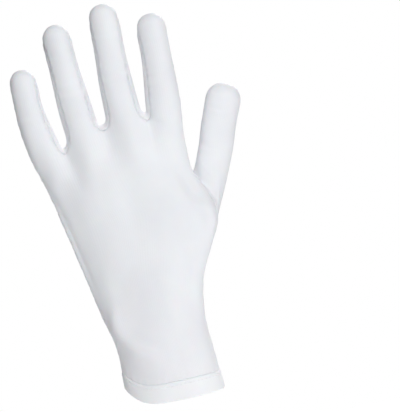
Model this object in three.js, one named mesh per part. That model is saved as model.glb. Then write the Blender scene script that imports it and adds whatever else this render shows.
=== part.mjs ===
// Nylon dress glove for the left hand, standing as it is worn: fingers up, open and hollow.
//
// The glove is one closed skin of stretch tricot: a palm tube that branches into four fingers,
// with a thumb set into a hole on the palm side. The skin is worked out once, cut along its seams
// into the pieces that are sewn together, and each piece is then given the thickness of its cloth.
//
// Millimetres. +Z runs up the hand to the fingertips, -Y is the back of the hand, +X the thumb
// side. The origin is the centre of the cuff's mouth, where the wrist goes in.

import * as THREE from 'three';

// Hand sizes
const PALM_LENGTH = 172;
const HAND_BREADTH = 95;
const HAND_DEPTH = 30;
const WRIST_BREADTH = 59;
const WRIST_DEPTH = 41;
const FINGER_LENGTH = 76;
const FINGER_WIDTH = 19.8;
const FINGER_CURL = 7;
const THUMB_LENGTH = 73.7;
const THUMB_WIDTH = 22.4;
const THUMB_DEPTH = 20.5;
const MOUTH_RISE = 12.5;
const MOUTH_DIP = 1;

// Cloth sizes
const CLOTH = 1.2;
const HEM_HEIGHT = 11;
const HEM_THICKNESS = 2.6;
const HEM_PROUD = 0.5;
const SEAM_GAP = 0.3;
const FOURCHETTE_WIDTH = 13;

// How full the sections are: 2 is an ellipse, more is boxier
const PALM_FULLNESS = 2.4;
const FINGER_FULLNESS = 2.15;

// Key sections of the palm tube, with a smooth curve through them. up: share of the way from the
// cuff to the finger roots. wrist: how far the section follows the wrist's sizes (1) and not the
// hand's (0). little, thumb, back and palm: its reach to each side, as a share of half the breadth
// or depth that it follows.
const PALM_SECTIONS = [
  { up: 0.0, wrist: 1.0, little: 1.0, thumb: 1.03, back: 1.02, palm: 1.02 },
  { up: 0.17, wrist: 1.0, little: 0.98, thumb: 0.97, back: 0.95, palm: 0.97 },
  { up: 0.26, wrist: 0.9, little: 0.96, thumb: 0.9, back: 0.93, palm: 0.96 },
  { up: 0.35, wrist: 0.6, little: 0.9, thumb: 0.82, back: 0.92, palm: 1.02 },
  { up: 0.44, wrist: 0.3, little: 0.84, thumb: 0.81, back: 0.96, palm: 1.18 },
  { up: 0.53, wrist: 0.0, little: 0.8, thumb: 0.87, back: 1.0, palm: 1.34 },
  { up: 0.61, wrist: 0.0, little: 0.85, thumb: 1.02, back: 1.0, palm: 1.38 },
  { up: 0.68, wrist: 0.0, little: 0.89, thumb: 1.12, back: 1.0, palm: 1.36 },
  { up: 0.73, wrist: 0.0, little: 0.92, thumb: 1.01, back: 1.0, palm: 1.3 },
  { up: 0.78, wrist: 0.0, little: 0.95, thumb: 0.91, back: 1.0, palm: 1.23 },
  { up: 0.83, wrist: 0.0, little: 0.975, thumb: 0.85, back: 0.99, palm: 1.16 },
  { up: 0.91, wrist: 0.0, little: 1.03, thumb: 0.85, back: 0.93, palm: 1.0 },
  { up: 1.0, wrist: 0.0, little: 1.105, thumb: 0.865, back: 0.78, palm: 0.82 },
];

// The mouth rises round the little finger's side and dips at the back of the hand, and its hem
// follows it. spread: degrees of the ring that the rise takes to fade. reach: share of the palm's
// length over which it fades above the hem.
const MOUTH = { spread: 44, reach: 0.35 };

// Soft folds and rises of the worn cloth. side: which face of the glove. across and up: where its
// middle lies, as shares of the hand's breadth and the palm's length. turn: degrees of its line
// from straight up, towards the thumb side. length, width: its half sizes as shares of the hand's
// breadth. height: how far the cloth stands out (or in, if negative) as a share of its depth.
const FOLDS = [
  { side: 'back', across: -0.2, up: 0.18, turn: 35, length: 0.12, width: 0.05, height: -0.07 },
  { side: 'back', across: -0.1, up: 0.22, turn: 35, length: 0.14, width: 0.05, height: 0.05 },
  { side: 'back', across: -0.12, up: 0.33, turn: 14, length: 0.2, width: 0.045, height: 0.05 },
  { side: 'back', across: -0.22, up: 0.37, turn: 14, length: 0.2, width: 0.05, height: -0.05 },
  { side: 'back', across: 0.12, up: 0.4, turn: 3, length: 0.24, width: 0.11, height: 0.04 },
  { side: 'back', across: 0.33, up: 0.66, turn: -24, length: 0.2, width: 0.06, height: -0.08 },
  { side: 'back', across: 0.46, up: 0.61, turn: -14, length: 0.1, width: 0.05, height: 0.06 },
  { side: 'back', across: -0.4, up: 0.9, turn: -8, length: 0.09, width: 0.07, height: 0.07 },
  { side: 'back', across: -0.17, up: 0.94, turn: -3, length: 0.1, width: 0.07, height: 0.08 },
  { side: 'back', across: 0.1, up: 0.95, turn: 2, length: 0.1, width: 0.07, height: 0.08 },
  { side: 'back', across: 0.3, up: 0.92, turn: 4, length: 0.1, width: 0.07, height: 0.07 },
  { side: 'palm', across: -0.18, up: 0.62, turn: -12, length: 0.25, width: 0.13, height: 0.1 },
  { side: 'palm', across: 0.02, up: 0.72, turn: 4, length: 0.22, width: 0.09, height: -0.12 },
  { side: 'palm', across: 0.0, up: 0.27, turn: 90, length: 0.25, width: 0.03, height: -0.06 },
];

// Where the finger roots divide, from the little finger's outer side to the index finger's.
// across: share of the hand's breadth. up: share of the palm's length.
const ROOT_LINE = [
  { across: -0.553, up: 0.885 },
  { across: -0.34, up: 0.93 },
  { across: -0.063, up: 0.98 },
  { across: 0.213, up: 0.98 },
  { across: 0.432, up: 0.93 },
];

// The fingers, in the same order. long and wide: root to tip and side to side, as shares of the
// middle finger's. lean: degrees to the thumb side. bow: how far the middle of the finger stands off
// its straight line, to the thumb side, as a share of its width.
const FINGER_TABLE = [
  { name: 'little', long: 0.803, wide: 0.919, lean: -5.7, bow: -0.165 },
  { name: 'ring', long: 0.974, wide: 0.97, lean: -2.2, bow: -0.03 },
  { name: 'middle', long: 1.0, wide: 1.0, lean: 1.8, bow: -0.05 },
  { name: 'index', long: 0.888, wide: 0.98, lean: 5.2, bow: 0.04 },
];
const FINGERS = FINGER_TABLE.map(({ name, long, wide, lean, bow }) => ({
  name,
  length: long * FINGER_LENGTH,
  width: wide * FINGER_WIDTH,
  lean,
  bow: bow * wide * FINGER_WIDTH,
}));
const FINGER_DEPTH = 0.9;
const TIP_DOME = 0.95;

// Finger sections up to the dome of the tip. along: share of the length. width: share of the width.
const FINGER_SECTIONS = [
  { along: 0.08, width: 1.18 },
  { along: 0.2, width: 1.12 },
  { along: 0.35, width: 1.07 },
  { along: 0.5, width: 1.0 },
  { along: 0.64, width: 0.95 },
  { along: 0.77, width: 0.94 },
];
const TIP_WIDTH = 0.93;
const TIP_ANGLES = [0, 30, 55, 75, 90];

// The thumb's middle line. across: where it starts, as a share of the hand's breadth. forward: as a
// share of the hand's depth. up: as a share of the palm's length. lean: degrees to the thumb side.
// swing: degrees towards the palm's side.
const THUMB = { across: 0.458, forward: 0.4, up: 0.669, lean: 24, swing: 8.6 };

// Thumb sections above its base. along: share of the length. width: share of the width.
const THUMB_SECTIONS = [
  { along: 0.5, width: 1.02 },
  { along: 0.58, width: 1.0 },
  { along: 0.68, width: 0.97 },
  { along: 0.79, width: 0.99 },
];
const THUMB_BASE = { share: 0.42, steps: 7 };

// The web between two fingers. rise: how far its arch bulges up, as a share of the hand's depth.
// dip: how much thinner the hand is there. blend: share of a finger that its root's form takes.
const WEB = { rise: 0.117, dip: 0.36, dipStart: 0.8, blend: 0.3 };

// Steps of the mesh: columns of cloth across each finger's back, and across a fourchette
const FINGER_COLUMNS = 6;
const FOURCHETTE_COLUMNS = 3;
const PALM_ROWS = 22;

// The thumb hole: how far up the palm it reaches, and its columns from the side seam
const HOLE = { from: 0.59, to: 0.79, columns: 4 };

const mix = (a, b, share) => a + (b - a) * share;
const radians = THREE.MathUtils.degToRad;

// A superellipse's sine or cosine: the same sign, pushed outwards by the fullness.
const full = (value, fullness) => Math.sign(value) * Math.abs(value) ** (2 / fullness);

// Height of the finger roots over a place across the hand, as a smooth curve through ROOT_LINE.
const rootCurve = new THREE.SplineCurve(
  ROOT_LINE.map((root) => new THREE.Vector2(root.across * HAND_BREADTH, root.up * PALM_LENGTH)),
);
function rootHeight(x) {
  const points = rootCurve.points;
  if (x <= points[0].x) return points[0].y;
  let low = 0;
  let high = 1;
  for (let step = 0; step < 24; step += 1) {
    const middle = (low + high) / 2;
    if (rootCurve.getPoint(middle).x < x) low = middle;
    else high = middle;
  }
  return rootCurve.getPoint(low).y;
}

// The reaches of the palm tube at a height, in millimetres.
const sectionCurve = new THREE.CubicInterpolant(
  PALM_SECTIONS.map((section) => section.up),
  PALM_SECTIONS.flatMap(({ wrist, little, thumb, back, palm }) => [wrist, little, thumb, back, palm]),
  5,
);
function reaches(up) {
  const [wrist, little, thumb, back, palm] = sectionCurve.evaluate(up);
  const halfBreadth = mix(HAND_BREADTH, WRIST_BREADTH, wrist) / 2;
  const halfDepth = mix(HAND_DEPTH, WRIST_DEPTH, wrist) / 2;
  return {
    up,
    little: little * halfBreadth,
    thumb: thumb * halfBreadth,
    back: back * halfDepth,
    palm: palm * halfDepth,
  };
}

// Ring angles of the seams: -90 is the little finger's side seam, 90 the thumb side's, and the
// back of the hand lies between them. The palm goes on from 90 to 270 with the same divisions.
const topSection = reaches(1);
const seamAngles = ROOT_LINE.map((root, i) => {
  if (i === 0) return -90;
  if (i === ROOT_LINE.length - 1) return 90;
  const middle = (topSection.thumb - topSection.little) / 2;
  const half = (topSection.thumb + topSection.little) / 2;
  const share = (root.across * HAND_BREADTH - middle) / half;
  const sine = Math.sign(share) * Math.abs(share) ** (PALM_FULLNESS / 2);
  return THREE.MathUtils.radToDeg(Math.asin(sine));
});

// Columns round the palm tube. Each has its ring angle, and how deep it lies in a web: 1 between
// two fingers and 0 along a finger's middle.
const backColumns = [];
for (let finger = 0; finger < FINGERS.length; finger += 1) {
  for (let step = 0; step < FINGER_COLUMNS; step += 1) {
    backColumns.push(columnOf(finger, step));
  }
}
backColumns.push(columnOf(FINGERS.length - 1, FINGER_COLUMNS));
const palmColumns = backColumns.map((column) => ({ ...column, angle: 180 - column.angle })).reverse();

function columnOf(finger, step) {
  const share = step / FINGER_COLUMNS;
  const angle = mix(seamAngles[finger], seamAngles[finger + 1], share);
  const outer = (finger === 0 && share < 0.5) || (finger === FINGERS.length - 1 && share > 0.5);
  const web = outer ? 0 : Math.abs(2 * share - 1) ** 1.5;
  return { angle, web };
}

// A point of the palm tube. Sections near the roots bend up with the root line, and dip between
// the fingers.
function palmPoint(section, column) {
  const sine = full(Math.sin(radians(column.angle)), PALM_FULLNESS);
  const cosine = full(Math.cos(radians(column.angle)), PALM_FULLNESS);
  const x = mix(-section.little, section.thumb, (sine + 1) / 2);
  const dip = WEB.dip * column.web * THREE.MathUtils.smoothstep(section.up, WEB.dipStart, 1);
  const side = cosine > 0 ? 'back' : 'palm';
  const folds = foldHeight(side, x, section.up * PALM_LENGTH) * Math.sqrt(Math.abs(cosine));
  const depth = section[side] * (1 - dip) + folds;
  const turn = Math.min(Math.abs(column.angle + 90), Math.abs(column.angle - 270));
  const corner = MOUTH_RISE * Math.exp(-((turn / MOUTH.spread) ** 2));
  const above = Math.max(0, section.up - HEM_HEIGHT / PALM_LENGTH) / MOUTH.reach;
  const mouth = (corner - MOUTH_DIP * cosine) * Math.max(0, 1 - above) ** 2;
  return new THREE.Vector3(x, -cosine * depth, section.up * rootHeight(x) + mouth);
}

// How far the folds lift the cloth at a place on one face, in millimetres.
function foldHeight(side, x, z) {
  let height = 0;
  for (const fold of FOLDS) {
    if (fold.side !== side) continue;
    const place = new THREE.Vector2(x - fold.across * HAND_BREADTH, z - fold.up * PALM_LENGTH);
    place.rotateAround(new THREE.Vector2(), radians(fold.turn));
    const distance = Math.hypot(place.x / fold.width, place.y / fold.length) / HAND_BREADTH;
    height += fold.height * HAND_DEPTH * Math.exp(-distance * distance);
  }
  return height;
}

// A point on an ellipse-like ring: across and up are unit vectors, angle as on the palm tube.
function ringPoint(centre, across, up, halfWidth, halfDepth, angle) {
  const back = new THREE.Vector3().crossVectors(across, up);
  return centre
    .clone()
    .addScaledVector(across, halfWidth * full(Math.sin(radians(angle)), FINGER_FULLNESS))
    .addScaledVector(back, halfDepth * full(Math.cos(radians(angle)), FINGER_FULLNESS));
}

// The finger's rings from its root to its tip: where each stands, and its half width and depth.
function fingerRings(finger, index) {
  const x = (ROOT_LINE[index].across + ROOT_LINE[index + 1].across) * HAND_BREADTH * 0.5;
  const lean = radians(finger.lean);
  const root = new THREE.Vector3(x, 0, rootHeight(x));
  const dome = finger.width * TIP_WIDTH * 0.5 * TIP_DOME;
  const place = (distance) => {
    const share = distance / finger.length;
    return new THREE.Vector3(
      root.x + distance * Math.sin(lean) + finger.bow * 4 * share * (1 - share),
      FINGER_CURL * share * share,
      root.z + distance * Math.cos(lean),
    );
  };
  const ring = (distance, width) => {
    const centre = place(distance);
    const up = centre.clone().sub(place(distance * 0.99)).normalize();
    const across = new THREE.Vector3(1, 0, 0).addScaledVector(up, -up.x).normalize();
    const halfWidth = finger.width * width * 0.5;
    const halfDepth = halfWidth * FINGER_DEPTH;
    return { share: distance / finger.length, centre, up, across, halfWidth, halfDepth };
  };
  const shaft = FINGER_SECTIONS.map((row) => ring(row.along * finger.length, row.width));
  const tip = TIP_ANGLES.map((angle) => {
    const distance = finger.length - dome * (1 - Math.sin(radians(angle)));
    return ring(distance, TIP_WIDTH * Math.cos(radians(angle)));
  });
  return [...shaft, ...tip];
}

// How far a fourchette reaches round the finger's side, in degrees: widest at the web, and
// narrowing to nothing at the start of the fingertip.
function fourchetteAngle(finger, share) {
  const end = 1 - (finger.width * TIP_WIDTH * 0.5 * TIP_DOME) / finger.length;
  if (share >= end - 1e-9) return 0;
  const widest = THREE.MathUtils.radToDeg(FOURCHETTE_WIDTH / finger.width);
  return widest * Math.sqrt(1 - (share / end) ** 2);
}

// The skin: faces that share points, each marked with the piece of cloth that it belongs to.
const skin = { points: [], keys: new Map(), faces: [] };

// A point's place in the skin: points of two patches that meet within a micron are one.
function skinPoint(point) {
  const key = [point.x, point.y, point.z].map((value) => Math.round(value * 1000)).join(' ');
  if (!skin.keys.has(key)) {
    skin.keys.set(key, skin.points.length);
    skin.points.push(point.clone());
  }
  return skin.keys.get(key);
}

// Adds a grid of points to the skin. Columns run so that column x row points out of the glove.
function addPatch(piece, rows, isHole = () => false) {
  const indices = rows.map((row) => row.map(skinPoint));
  for (let r = 0; r + 1 < rows.length; r += 1) {
    for (let c = 0; c + 1 < rows[r].length; c += 1) {
      if (isHole(r, c)) continue;
      const [a, b] = [indices[r][c], indices[r][c + 1]];
      const [d, e] = [indices[r + 1][c + 1], indices[r + 1][c]];
      for (const face of [[a, b, d], [a, d, e]]) {
        if (new Set(face).size === 3) skin.faces.push({ piece, face });
      }
    }
  }
}

// The hem, the panels below the finger roots, and the thumb's hole, whose rim it returns.
function addPalmTube() {
  const hemTop = HEM_HEIGHT / PALM_LENGTH;
  const hem = [0, hemTop].map(reaches);
  const palm = Array.from({ length: PALM_ROWS + 1 }, (_, row) => reaches(mix(hemTop, 1, row / PALM_ROWS)));
  const grid = (sections, columns) =>
    sections.map((section) => columns.map((column) => palmPoint(section, column)));
  const rowAt = (up) => Math.round(((up - hemTop) / (1 - hemTop)) * PALM_ROWS);
  const hole = { firstRow: rowAt(HOLE.from), lastRow: rowAt(HOLE.to), columns: HOLE.columns };
  const isHole = (row, column) => row >= hole.firstRow && row < hole.lastRow && column < hole.columns;
  const palmGrid = grid(palm, palmColumns);
  addPatch('cuff_hem', grid(hem, backColumns));
  addPatch('cuff_hem', grid(hem, palmColumns));
  addPatch('back_panel', grid(palm, backColumns));
  addPatch('palm_panel', palmGrid, isHole);
  return holeRim(palmGrid, hole);
}

// The points that a web's arch passes through, from the back of the hand to the palm.
function webArch(boundary) {
  const column = backColumns[boundary * FINGER_COLUMNS];
  const back = palmPoint(topSection, column);
  const palm = palmPoint(topSection, { ...column, angle: 180 - column.angle });
  return Array.from({ length: FOURCHETTE_COLUMNS + 1 }, (_, step) => {
    const share = step / FOURCHETTE_COLUMNS;
    const point = back.clone().lerp(palm, share);
    point.z += WEB.rise * HAND_DEPTH * Math.sin(Math.PI * share);
    return point;
  });
}

// One strip of a finger: its columns leave the root points and turn into the finger's rings.
function strip(rings, rootPoints, angleAt) {
  const rows = [rootPoints];
  for (const ring of rings) {
    const blend = 1 - (1 - Math.min(1, ring.share / WEB.blend)) ** 3;
    const row = rootPoints.map((root, step) => {
      const angle = angleAt(ring.share, step / (rootPoints.length - 1));
      const point = ringPoint(ring.centre, ring.across, ring.up, ring.halfWidth, ring.halfDepth, angle);
      return root.clone().lerp(point, blend);
    });
    rows.push(row);
  }
  return rows;
}

// The four sides of a finger: its back, its front, and the fourchettes towards its neighbours.
function addFinger(finger, index) {
  const rings = fingerRings(finger, index);
  const atLittle = (share) => (index === 0 ? 0 : fourchetteAngle(finger, share));
  const atThumb = (share) => (index === FINGERS.length - 1 ? 0 : fourchetteAngle(finger, share));
  const columns = backColumns.slice(index * FINGER_COLUMNS, (index + 1) * FINGER_COLUMNS + 1);
  const backRoot = columns.map((column) => palmPoint(topSection, column));
  const palmRoot = columns.map((column) => palmPoint(topSection, { ...column, angle: 180 - column.angle }));
  const backAngle = (share, across) => mix(-90 + atLittle(share), 90 - atThumb(share), across);
  const palmAngle = (share, across) => mix(90 + atThumb(share), 270 - atLittle(share), across);
  addPatch('back_panel', strip(rings, backRoot, backAngle));
  addPatch('palm_panel', strip(rings, palmRoot.reverse(), palmAngle));
  if (index < FINGERS.length - 1) {
    const name = `fourchette_${finger.name}_${FINGERS[index + 1].name}`;
    const angle = (share, across) => 90 + atThumb(share) * (2 * across - 1);
    addPatch(name, strip(rings, webArch(index + 1), angle));
  }
  if (index > 0) {
    const name = `fourchette_${FINGERS[index - 1].name}_${finger.name}`;
    const angle = (share, across) => 270 + atLittle(share) * (2 * across - 1);
    addPatch(name, strip(rings, webArch(index).reverse(), angle));
  }
}

// The rim of the thumb hole, anticlockwise seen from outside, from its lower corner at the side seam.
function holeRim(palmGrid, { firstRow, lastRow, columns }) {
  const rim = [];
  for (let c = 0; c < columns; c += 1) rim.push(palmGrid[firstRow][c]);
  for (let r = firstRow; r < lastRow; r += 1) rim.push(palmGrid[r][columns]);
  for (let c = columns; c > 0; c -= 1) rim.push(palmGrid[lastRow][c]);
  for (let r = lastRow; r > firstRow; r -= 1) rim.push(palmGrid[r][0]);
  return rim;
}

// The thumb's middle line: its root, and unit vectors along it, across it and to the hand's back.
function thumbFrame() {
  const root = new THREE.Vector3(
    THUMB.across * HAND_BREADTH,
    THUMB.forward * HAND_DEPTH,
    THUMB.up * PALM_LENGTH,
  );
  const up = new THREE.Vector3(
    Math.sin(radians(THUMB.lean)) * Math.cos(radians(THUMB.swing)),
    Math.sin(radians(THUMB.swing)),
    Math.cos(radians(THUMB.lean)) * Math.cos(radians(THUMB.swing)),
  );
  const across = new THREE.Vector3(1, 0, 0).addScaledVector(up, -up.x).normalize();
  const back = new THREE.Vector3().crossVectors(across, up);
  return { root, up, across, back };
}

// The thumb starts slanted along the rim of its hole, and turns into level rings above its base.
function addThumb(rim) {
  const { root, up, across, back } = thumbFrame();
  const arms = rim.map((point) => point.clone().sub(root));
  const starts = arms.map((arm) => arm.dot(up));
  const turns = arms.map((arm) => THREE.MathUtils.radToDeg(Math.atan2(arm.dot(across), arm.dot(back))));
  const even = (i) => turns[0] + (i * 360) / rim.length;
  const own = (i) => even(i) + THREE.MathUtils.euclideanModulo(turns[i] - even(i) + 180, 360) - 180;
  const row = (base, distance, width) =>
    rim.map((point, i) => {
      const centre = root.clone().addScaledVector(up, mix(starts[i], distance, base));
      const angle = mix(own(i), even(i), base);
      const halfWidth = THUMB_WIDTH * 0.5 * width;
      const halfDepth = THUMB_DEPTH * 0.5 * width;
      const ring = ringPoint(centre, across, up, halfWidth, halfDepth, angle);
      return point.clone().lerp(ring, 1 - (1 - base) ** 2);
    });
  const rows = [];
  for (let step = 0; step <= THUMB_BASE.steps; step += 1) {
    rows.push(row(step / THUMB_BASE.steps, THUMB_BASE.share * THUMB_LENGTH, THUMB_SECTIONS[0].width));
  }
  for (const section of THUMB_SECTIONS) rows.push(row(1, section.along * THUMB_LENGTH, section.width));
  const dome = THUMB_WIDTH * 0.5 * TIP_DOME;
  for (const angle of TIP_ANGLES) {
    rows.push(row(1, THUMB_LENGTH - dome * (1 - Math.sin(radians(angle))), Math.cos(radians(angle))));
  }
  addPatch('thumb', rows.map((points) => [...points, points[0]]));
}

// The outward direction at each point of the skin, weighted by the area of the faces round it.
function skinNormals() {
  const normals = skin.points.map(() => new THREE.Vector3());
  const triangle = new THREE.Triangle();
  for (const { face } of skin.faces) {
    triangle.set(...face.map((i) => skin.points[i]));
    const normal = triangle.getNormal(new THREE.Vector3()).multiplyScalar(triangle.getArea());
    for (const i of face) normals[i].add(normal);
  }
  return normals.map((normal) => normal.normalize());
}

// How far each edge point of a piece is drawn back from the seam, so that two pieces sewn together
// keep a gap.
function seamInsets(faces, normals) {
  const open = new Map();
  for (const face of faces) {
    for (let k = 0; k < 3; k += 1) {
      const edge = [face[k], face[(k + 1) % 3]];
      open.set(edge.join(' '), edge);
    }
  }
  const edges = [...open.values()].filter(([a, b]) => !open.has(`${b} ${a}`));
  const sides = new Map();
  for (const [a, b] of edges) {
    const along = skin.points[b].clone().sub(skin.points[a]);
    for (const end of [a, b]) {
      const inward = new THREE.Vector3().crossVectors(normals[end], along).normalize();
      sides.set(end, [...(sides.get(end) ?? []), inward]);
    }
  }
  const insets = new Map();
  for (const [point, inwards] of sides) {
    const sum = inwards.reduce((total, side) => total.add(side), new THREE.Vector3());
    const spread = Math.max(0.35, 1 + inwards[0].dot(inwards.at(-1)));
    insets.set(point, sum.multiplyScalar((SEAM_GAP * 0.5) / spread));
  }
  return { edges, insets };
}

// A closed solid of one piece of cloth: its outer side, its inner side, and the cut edges between.
function clothGeometry(piece, normals, outward, inward) {
  const faces = skin.faces.filter((entry) => entry.piece === piece).map((entry) => entry.face);
  const { edges, insets } = seamInsets(faces, normals);
  const local = new Map();
  const positions = [];
  for (const point of faces.flat()) {
    if (local.has(point)) continue;
    local.set(point, local.size);
    const seam = skin.points[point].clone().add(insets.get(point) ?? new THREE.Vector3());
    positions.push(seam.clone().addScaledVector(normals[point], outward));
    positions.push(seam.clone().addScaledVector(normals[point], -inward));
  }
  const outer = (point) => local.get(point) * 2;
  const inner = (point) => local.get(point) * 2 + 1;
  const triangles = [];
  for (const [a, b, c] of faces) {
    triangles.push(outer(a), outer(b), outer(c));
    triangles.push(inner(a), inner(c), inner(b));
  }
  for (const [a, b] of edges) {
    triangles.push(outer(b), outer(a), inner(a));
    triangles.push(outer(b), inner(a), inner(b));
  }
  const geometry = new THREE.BufferGeometry().setFromPoints(positions);
  geometry.setIndex(triangles);
  geometry.computeVertexNormals();
  return geometry;
}

const thumbRim = addPalmTube();
FINGERS.forEach(addFinger);
addThumb(thumbRim);

// Matt white tricot, and the hem, which is doubled and so a little brighter
const tricot = new THREE.MeshStandardMaterial({ color: 0xeceef2, roughness: 0.72, metalness: 0 });
const hemCloth = new THREE.MeshStandardMaterial({ color: 0xf2f4f6, roughness: 0.68, metalness: 0 });

const glove = new THREE.Group();
const normals = skinNormals();
for (const piece of new Set(skin.faces.map((entry) => entry.piece))) {
  const isHem = piece === 'cuff_hem';
  const geometry = isHem
    ? clothGeometry(piece, normals, HEM_PROUD, HEM_THICKNESS - HEM_PROUD)
    : clothGeometry(piece, normals, 0, CLOTH);
  const mesh = new THREE.Mesh(geometry, isHem ? hemCloth : tricot);
  mesh.name = piece;
  glove.add(mesh);
}

export default glove;
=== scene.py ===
"""A white nylon dress glove for the left hand, in the form that it has when worn.

The glove's whole skin is worked out first, as grids of points on the palm, the fingers and the
thumb. It is smoothed, given its folds, and then cut along its seams into the sewn pieces. Each
piece gets the thickness of its cloth, so the glove is open at the wrist and hollow.

Lengths are millimetres until a mesh is made. +Z runs up the hand, -Y is the back of the hand,
+X the thumb side, and the origin is the centre of the mouth.
"""

import bpy
import numpy as np
from mathutils import Matrix


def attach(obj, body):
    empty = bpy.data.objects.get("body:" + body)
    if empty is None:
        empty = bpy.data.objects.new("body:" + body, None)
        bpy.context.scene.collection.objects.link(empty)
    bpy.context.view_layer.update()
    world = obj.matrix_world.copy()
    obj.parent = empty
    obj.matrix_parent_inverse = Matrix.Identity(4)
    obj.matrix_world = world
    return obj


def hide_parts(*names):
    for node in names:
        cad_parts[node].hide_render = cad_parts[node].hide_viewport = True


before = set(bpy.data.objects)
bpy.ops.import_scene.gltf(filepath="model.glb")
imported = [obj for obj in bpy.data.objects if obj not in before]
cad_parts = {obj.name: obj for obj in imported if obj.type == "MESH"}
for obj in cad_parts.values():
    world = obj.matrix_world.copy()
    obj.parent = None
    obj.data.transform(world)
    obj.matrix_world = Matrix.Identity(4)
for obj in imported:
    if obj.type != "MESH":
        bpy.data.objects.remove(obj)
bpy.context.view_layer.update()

MM = 0.001

# Hand sizes
PALM_LENGTH = 172
HAND_BREADTH = 95
HAND_DEPTH = 30
WRIST_BREADTH = 59
WRIST_DEPTH = 41
FINGER_LENGTH = 75.3
FINGER_WIDTH = 19.8
FINGER_DEPTH = 0.9
FINGER_CURL = 7
THUMB_LENGTH = 73.7
THUMB_WIDTH = 22.4
THUMB_DEPTH = 20.5
MOUTH_RISE = 12.5
MOUTH_DIP = 0.3

# Cloth sizes
CLOTH = 0.8
HEM_HEIGHT = 11
HEM_THICKNESS = 1.7
HEM_PROUD = 0.35
SEAM_GAP = 0.12
SEAM_SINK = 0.38
SEAM_REACH = 1.6
SEAM_WELT = {"height": 0.08, "away": 2.2, "width": 0.9}
HEM_LINE = {"gap": 0.02, "sink": 0.02, "round": 0.8}
FOURCHETTE_WIDTH = 13
COLUMN_WIDTH = 3.1

# The hem's stitches. row: their height above the mouth. groove and width: the line that they pull
# in. arch and dive: how far a stitch stands off the cloth and its ends dip in, in radii.
STITCH = {"row": 9.2, "pitch": 2.7, "length": 1.9, "thread": 0.34, "groove": 0.16, "width": 0.55,
          "arch": 0.9, "dive": 1.9, "taper": 0.35, "sides": 6, "rings": 5}

# How full the sections are: 2 is an ellipse, more is boxier
PALM_FULLNESS = 2.4
FINGER_FULLNESS = 2.15

# Key sections of the palm tube. up: share of the way from the mouth to the finger roots. wrist:
# how far it follows the wrist's sizes and not the hand's. little, thumb, back and palm: its reach
# to each side, as a share of half the breadth or depth.
PALM_COLUMNS = ("up", "wrist", "little", "thumb", "back", "palm")
PALM_SECTIONS = (
    (0.00, 1.0, 1.000, 1.030, 1.02, 1.02),
    (0.17, 1.0, 0.980, 0.970, 0.95, 0.97),
    (0.26, 0.9, 0.960, 0.900, 0.93, 0.96),
    (0.35, 0.6, 0.900, 0.820, 0.92, 1.02),
    (0.44, 0.3, 0.840, 0.810, 0.96, 1.18),
    (0.53, 0.0, 0.800, 0.870, 1.00, 1.34),
    (0.61, 0.0, 0.850, 1.020, 1.00, 1.38),
    (0.68, 0.0, 0.890, 1.120, 1.00, 1.36),
    (0.73, 0.0, 0.920, 1.010, 1.00, 1.30),
    (0.78, 0.0, 0.950, 0.910, 1.00, 1.23),
    (0.83, 0.0, 0.975, 0.850, 0.99, 1.16),
    (0.91, 0.0, 1.030, 0.850, 0.93, 1.00),
    (1.00, 0.0, 1.105, 0.865, 0.78, 0.82),
)

# The mouth rises round the little finger's side: degrees of the ring that the rise takes to fade,
# and the share of the palm's length over which it fades above the hem
MOUTH_SPREAD = 44
MOUTH_REACH = 0.35

# Where the finger roots divide: share of the hand's breadth, and share of the palm's length
ROOT_ACROSS = (-0.553, -0.34, -0.063, 0.213, 0.432)
ROOT_UP = (0.885, 0.93, 0.98, 0.98, 0.93)

# The fingers. long and wide: shares of the middle finger's. lean: degrees to the thumb side. bow:
# how far its middle stands off a straight line, as a share of its width.
FINGERS = (
    {"name": "little", "long": 0.803, "wide": 0.919, "lean": -5.2, "bow": -0.165},
    {"name": "ring", "long": 0.985, "wide": 0.970, "lean": -2.9, "bow": -0.03},
    {"name": "middle", "long": 1.000, "wide": 1.000, "lean": 1.3, "bow": -0.05},
    {"name": "index", "long": 0.908, "wide": 0.980, "lean": 4.5, "bow": 0.04},
)

# A finger's width along its length, as a share of its own width
FINGER_ALONG = (0.0, 0.08, 0.2, 0.35, 0.5, 0.64, 0.77, 0.9)
FINGER_WIDE = (1.2, 1.18, 1.12, 1.07, 1.0, 0.95, 0.94, 0.93)
TIP_WIDTH = 0.93
TIP_DOME = 0.95

# The thumb's middle line, and its width along it. slim: how much slimmer it is towards the hand,
# up to slim_end. blend and hand_blend: how soon its rings leave the hole's rim, there even sooner.
THUMB = {"across": 0.458, "forward": 0.4, "up": 0.669, "lean": 24, "swing": 8.6, "slim": 0.17,
         "slim_end": 0.7, "blend": 2, "hand_blend": 4}
THUMB_ALONG = (0.42, 0.5, 0.58, 0.68, 0.79, 0.9)
THUMB_WIDE = (1.03, 1.02, 1.0, 0.97, 0.99, 1.0)
THUMB_BASE = 0.42
HOLE_FROM = 0.59
HOLE_TO = 0.79

# The webs. dip: how much thinner the hand gets towards them, from dip_start on. Shares of a
# finger's length: blend and side_blend, over which it leaves its root, in its middle and in the
# web; slim_reach, over which it is slimmer there; lift_reach, over which its rings come down from
# the arch. WEB_RISES: how high each arch stands, as a share of the hand's depth.
WEB = {"dip": 0.36, "dip_start": 0.8, "dip_power": 1.5, "blend": 0.3, "side_blend": 0.13,
       "side_power": 3, "slim": 0.08, "slim_reach": 0.14, "lift_reach": 0.3}
WEB_RISES = (0.15, 0.15, 0.20)

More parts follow.
